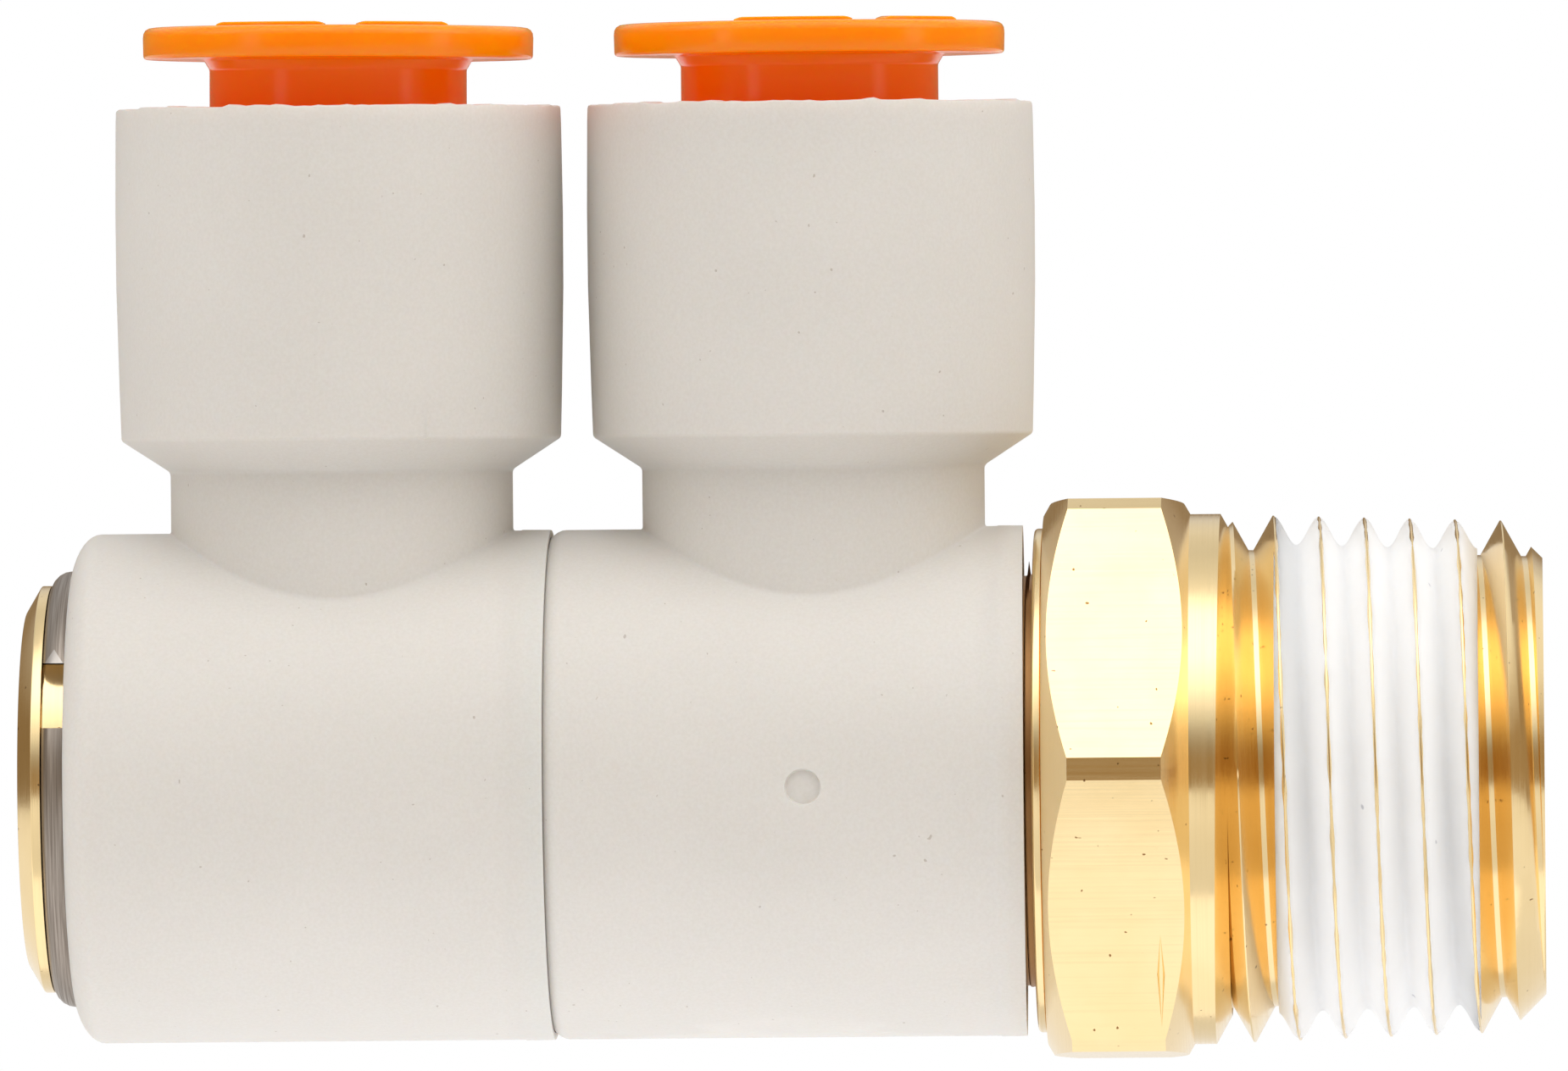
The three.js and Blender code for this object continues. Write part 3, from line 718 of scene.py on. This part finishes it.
def socket_outside(centre, flash_seed):
    """The neck and head of an elbow. The neck runs out onto the barrel in a small fillet."""
    foot = 5.0
    fillet_steps = 6
    head = softened([
        (NECK_RADIUS, HEAD_BOTTOM - 3.5), (NECK_RADIUS, NECK_TOP, 0.15),
        (HEAD_BOTTOM_RADIUS, HEAD_BOTTOM, 0.12), (8.86, 16.0), (8.95, 20.0), (8.96, 23.0), (8.92, 26.5),
    ])

    def on_barrel(radius, angle):
        return math.sqrt(BARREL_RADIUS ** 2 - (radius * math.cos(angle)) ** 2)

    def outline(angle):
        corner = Vector((NECK_RADIUS, on_barrel(NECK_RADIUS, angle)))
        upper = corner + Vector((0, NECK_FILLET))
        outer = NECK_RADIUS + NECK_FILLET
        lower = Vector((outer, on_barrel(outer, angle) - 0.012))
        fillet = []
        for step in range(fillet_steps + 1):
            share = step / fillet_steps
            fillet.append(tuple(lower.lerp(corner, share).lerp(corner.lerp(upper, share), share)))
        around = Vector((math.cos(angle), math.sin(angle), flash_seed))
        waves = 0.04 * noise.noise(around * 5.0)
        tags = 0.14 * max(0.0, noise.noise(around * 17.0))
        flash = waves + tags - 0.03
        rim = [(8.9, HEAD_TOP - 0.12), (8.87, HEAD_TOP - 0.03 + flash), (8.78, HEAD_TOP + flash)]
        return [(0, foot), (outer, foot), *fillet, *head, *rim, (0, HEAD_TOP)]

    return swept(outline, about_socket(centre), full_turn(192), loop=False)


def socket_inside(centre):
    """The hollow of a socket: air passage, stop and seat for the tube, and pocket for the rest."""
    low, above = 1.0, HEAD_TOP + 2
    air, stop, tube, floor, edge = 3.7, 12.0, 4.9, 17.2, 0.2
    mouth = POCKET_RADIUS + 0.35
    return turned([
        (0, low), (air, low), (air, stop - edge), (air + edge, stop), (tube, stop), (tube, floor - edge),
        (tube + edge, floor), (POCKET_RADIUS, floor), (POCKET_RADIUS, HEAD_TOP - 0.35),
        (mouth, HEAD_TOP + 0.1), (mouth, above), (0, above),
    ], about_socket(centre), loop=False)


def ejector_mark(centre):
    """A shallow round mark that the mould leaves on the front of a barrel."""
    radius, depth, aside, height = 0.72, 0.19, -0.2, 0.0
    surface = -BARREL_RADIUS + depth

    def place(outward, along, angle):
        x, z = centre + aside + outward * math.cos(angle), height + outward * math.sin(angle)
        return (x, surface - along, z)

    return turned([(0, 0), (radius - 0.06, 0), (radius, 0.1), (radius + 0.06, 1), (0, 1)], place, False, 48)


def nick(centre):
    """A small knock in the lower edge of a socket's head."""
    across, height = 3.8, HEAD_BOTTOM + 0.05
    front = -math.sqrt(HEAD_BOTTOM_RADIUS ** 2 - across ** 2)

    def place(outward, along, angle):
        return (
            centre + across + along + 0.3 * outward * math.cos(angle),
            front - 0.16 + outward * math.cos(angle),
            height + 0.5 * along + 0.6 * outward * math.sin(angle))

    return turned([(0, -0.42), (0.2, -0.2), (0.24, 0.1), (0, 0.42)], place, False, 16)


def slanted_end(right):
    """What is cut from the second barrel's square end, which stands a little askew."""
    reach = BARREL_RADIUS + 1
    made = block((0, -reach, -reach), (reach, 3 * reach, reach))
    slant = Matrix.Rotation(math.radians(END_SLANT), 4, "Z")
    made.data.transform(Matrix.Translation((right, -BARREL_RADIUS, 0)) @ slant)
    return made


def make_elbow(number, centre):
    left, right = centre - BARREL_LEFT[number - 1], centre + BARREL_RIGHT[number - 1]
    made = combine(barrel(number, left, right), socket_outside(centre, number), "UNION")
    if number == 2:
        combine(made, slanted_end(right), "DIFFERENCE")
    combine(made, rod(BARREL_BORE, left - 1, right + 1, about_x), "DIFFERENCE")
    combine(made, socket_inside(centre), "DIFFERENCE")
    combine(made, nick(centre) if number == 1 else ejector_mark(centre), "DIFFERENCE")
    finished(made, f"elbow_moulding_{number}", "body_plastic", f"elbow_{number}", f"elbow_body_{number}")


# ------------------------------------------------------------------ inside a socket

INNER_RINGS = {
    "tube_seal": ("black_rubber", [
        (7.5, 17.3, 0.2), (7.5, 20.0, 0.2), (6.6, 20.0, 0.15), (6.2, 18.6, 0.3), (5.4, 19.8, 0.1),
        (4.62, 19.2, 0.12), (5.0, 17.3, 0.2)]),
    "seal_spacer": ("white_plastic", [
        (6.9, 20.15, 0.1), (6.9, 22.2, 0.1), (6.25, 22.2, 0.08), (6.05, 20.6, 0.2), (5.0, 20.6, 0.1),
        (5.0, 20.15, 0.1)]),
    "collet": ("white_plastic", [
        (6.9, 22.8, 0.1), (6.9, 26.2, 0.2), (5.3, 26.2, 0.2), (5.3, 24.4, 0.05), (5.8, 24.2, 0.05),
        (5.8, 22.8, 0.1)]),
    "guide_sleeve": ("stainless", [
        (7.5, 20.15, 0.05), (7.5, 26.8, 0.35), (6.0, 26.8, 0.1), (6.0, 26.4, 0.05), (7.05, 26.4, 0.1),
        (7.05, 20.15, 0.05)]),
}


def make_inner_rings(number, centre):
    for node, (slot, outline) in INNER_RINGS.items():
        made = turned(outline, about_socket(centre))
        finished(made, f"{node}_ring_{number}", slot, f"elbow_{number}", f"{node}_{number}")


def make_grab_ring(number, centre):
    """A thin ring with eight teeth on a cone that slopes down and in towards the tube."""
    teeth, root, tip, thickness = 8, 6.0, 4.7, 0.3
    base, rim, hinge, slope = 22.35, 6.9, 6.1, 0.96
    slot_half = math.radians(4.2)
    angles = []
    for tooth in range(teeth):
        start = FULL_TURN * tooth / teeth
        end = start + FULL_TURN / teeth
        angles += [start - slot_half, start + slot_half - 1e-4]
        angles += [start + slot_half + (end - start - 2 * slot_half) * i / 8 for i in range(9)]
        angles[-1] -= 1e-4
    angles.append(FULL_TURN - slot_half)

    def outline(angle):
        from_slot = (angle + slot_half) % (FULL_TURN / teeth)
        inner = root if from_slot < 2 * slot_half - 5e-5 else tip
        low = base - (hinge - inner) * slope
        return [
            (rim, base), (rim, base + thickness), (hinge, base + thickness), (inner, low + thickness),
            (inner, low), (hinge, base)]

    made = swept(outline, about_socket(centre), angles)
    finished(made, f"grab_teeth_{number}", "stainless", f"elbow_{number}", f"grab_ring_{number}")


def make_button(number, centre):
    """A release button, with four raised arcs on top for a fingertip to feel."""
    bore, neck, flange, bead = 4.82, 5.15, 7.8, 5.42
    low, under, top = 23.6, 29.13, 30.4
    made = turned([
        (bore, low, 0.15), (neck, low, 0.1), (bead, low + 0.25, 0.05), (bead, low + 0.5, 0.03),
        (neck, low + 0.55), (neck, under - 0.42, 0.06), (neck + 0.25, under, 0.08),
        (flange, under, 0.16), (flange + 0.03, top, 0.42), (bore + 0.5, top, 0.12), (bore, top - 0.5, 0.2),
    ], about_socket(centre))
    # Each arc's first and last angles, in degrees, before the button is turned in its socket.
    arcs = ((10, 43), (-42, -1.5), (190, 223), (138, 178.5))
    twist = 18 * (number - 1)
    for first, last in arcs:
        start, end = math.radians(first + twist), math.radians(last + twist)

        def ridge(angle):
            from_end = min(angle - start, end - angle) * flange
            height = top + 0.15 * min(1.0, 0.15 + from_end / 0.4) ** 0.5
            return softened([(6.0, top - 0.1), (6.0, height, 0.05), (6.85, height, 0.05), (6.85, top - 0.1)])

        arc = [start + (end - start) * i / 40 for i in range(41)]
        combine(made, swept(ridge, about_socket(centre), arc, capped=True), "UNION")
    pivot = Vector((centre, 0, (low + top) / 2))
    tilt = Matrix.Rotation(math.radians(BUTTON_TILTS[number - 1]), 4, "Y")
    made.data.transform(Matrix.Translation(pivot) @ tilt @ Matrix.Translation(-pivot))
    finished(made, f"push_button_{number}", "orange_plastic", f"button_{number}", f"release_button_{number}")


# ------------------------------------------------------------------ studio

def make_floor():
    """A plain pale floor a little below the part. It glows, more so far out, like a white light table."""
    half, height = 1.0, -0.06
    mesh = bpy.data.meshes.new("floor")
    corners = [(x * half, y * half, height) for x, y in ((-1, -1), (1, -1), (1, 1), (-1, 1))]
    mesh.from_pydata(corners, [], [(0, 1, 2, 3)])
    floor = bpy.data.objects.new("floor", mesh)
    bpy.context.scene.collection.objects.link(floor)
    graph = Graph(bpy.data.materials.new("floor_white"))
    distance = graph.node("VectorMath", [(0, graph.place())], operation="LENGTH").outputs["Value"]
    graph.shade(
        Base_Color=(0.45, 0.45, 0.45, 1.0), Roughness=0.9, Specular_IOR_Level=0.1,
        Emission_Color=(1.0, 0.995, 0.985, 1.0),
        Emission_Strength=graph.ramp(distance, (0.06, 0.26), (0.22, 0.42)))
    mesh.materials.append(graph.owner)


def make_world():
    """A dim room with a wide soft light above and in front, and plain white to the camera."""
    # Brightness by the angle, in degrees, that a direction is raised from straight towards the viewer.
    levels = [
        (0, 0.3), (14, 0.33), (24, 0.62), (37, 1.2), (47, 1.65), (56, 2.1), (67, 2.1), (77, 1.95),
        (88, 1.29), (101, 0.98), (118, 0.84), (138, 0.98), (160, 0.82)]
    # Share of that brightness by the angle to the right, before it is scaled by widest.
    shares = [(-180, 0.66), (-110, 0.54), (-60, 0.7), (0, 0.8), (60, 0.86), (110, 0.84), (180, 0.66)]
    widest = 1.25
    # Two narrow lights stand on the horizon, at these angles to the right.
    strips = [(-58, 0.0), (-50, 1.0), (-42, 0.0), (58, 0.0), (67, 1.0), (76, 0.0)]
    strip_level = 1.3
    horizon_colour = (0.34, 0.24, 0.133)
    top = max(level for angle, level in levels)
    graph = Graph(bpy.data.worlds.new("studio"), "Background")
    bpy.context.scene.world = graph.owner
    split = graph.node("SeparateXYZ", [(0, graph.node("TexCoord").outputs["Generated"])])
    up = split.outputs["Z"]
    forward = graph.math("MULTIPLY", split.outputs["Y"], -1.0)
    half_turns = graph.math("DIVIDE", graph.math("ARCTAN2", up, forward), math.pi)
    light = graph.ramp(half_turns, *[(angle / 180, level / top) for angle, level in levels])
    horizon = graph.ramp(graph.math("ABSOLUTE", up), (0.16, 1.0), (0.42, 0.0))
    room = graph.mix(horizon, light, tuple(value / top for value in horizon_colour))
    aside = graph.math("DIVIDE", graph.math("ARCTAN2", split.outputs["X"], forward), FULL_TURN)
    turn = graph.math("ADD", aside, 0.5)
    walls = graph.ramp(turn, *[(angle / 360 + 0.5, share) for angle, share in shares])
    upright = graph.ramp(turn, *[(angle / 360 + 0.5, share * strip_level / top) for angle, share in strips])
    room = graph.mix(1.0, room, graph.mix(1.0, walls, (widest,) * 3, "MULTIPLY"), "MULTIPLY")
    room = graph.mix(horizon, room, graph.mix(1.0, room, upright, "ADD"))
    to_camera = graph.node("LightPath").outputs["Is Camera Ray"]
    graph.shade(Color=graph.mix(to_camera, room, (1 / top,) * 3), Strength=top)


def make_light_from_below():
    """Soft lights under the part, one within another and brighter inwards, unseen by the camera."""
    width = 0.3
    for depth, middle, level in ((0.078, -0.0115, 0.42), (0.045, -0.0115, 1.0), (0.03, -0.004, 1.0)):
        data = bpy.data.lights.new("light_from_below", "AREA")
        data.shape = "RECTANGLE"
        data.size, data.size_y = width, depth
        data.energy = level * math.pi * width * depth
        data.color = (0.98, 0.98, 1.02)
        light = bpy.data.objects.new("light_from_below", data)
        light.location = (-0.016, middle, -0.055)
        light.rotation_euler = (math.pi, 0, 0)
        light.visible_camera = False
        bpy.context.scene.collection.objects.link(light)


def make_camera():
    """A long lens, level with the part and a little to the right of it."""
    distance = 0.816
    azimuth, elevation, roll = (math.radians(value) for value in (2.05, 0.3, -0.55))
    aim = Vector((-16.27, 0, 9.9)) * MM
    level_share = math.cos(elevation)
    back = Vector((
        math.sin(azimuth) * level_share, -math.cos(azimuth) * level_share, math.sin(elevation)))
    data = bpy.data.cameras.new("camera")
    data.sensor_width = 36.0
    data.lens = 468.1
    data.clip_start, data.clip_end = 0.01, 20.0
    camera = bpy.data.objects.new("camera", data)
    camera.rotation_mode = "QUATERNION"
    camera.location = aim + back * distance
    level = (-back).to_track_quat("-Z", "Y")
    camera.rotation_quaternion = level @ Matrix.Rotation(roll, 4, "Z").to_quaternion()
    bpy.context.scene.collection.objects.link(camera)
    bpy.context.scene.camera = camera


make_camera()
make_world()
make_light_from_below()
make_floor()
make_stud()
make_sealant()
make_ring()
make_o_rings()
for number, centre in enumerate(SOCKETS, 1):
    make_elbow(number, centre)
    make_inner_rings(number, centre)
    make_grab_ring(number, centre)
    make_button(number, centre)
bpy.context.scene.view_settings.view_transform = "Standard"
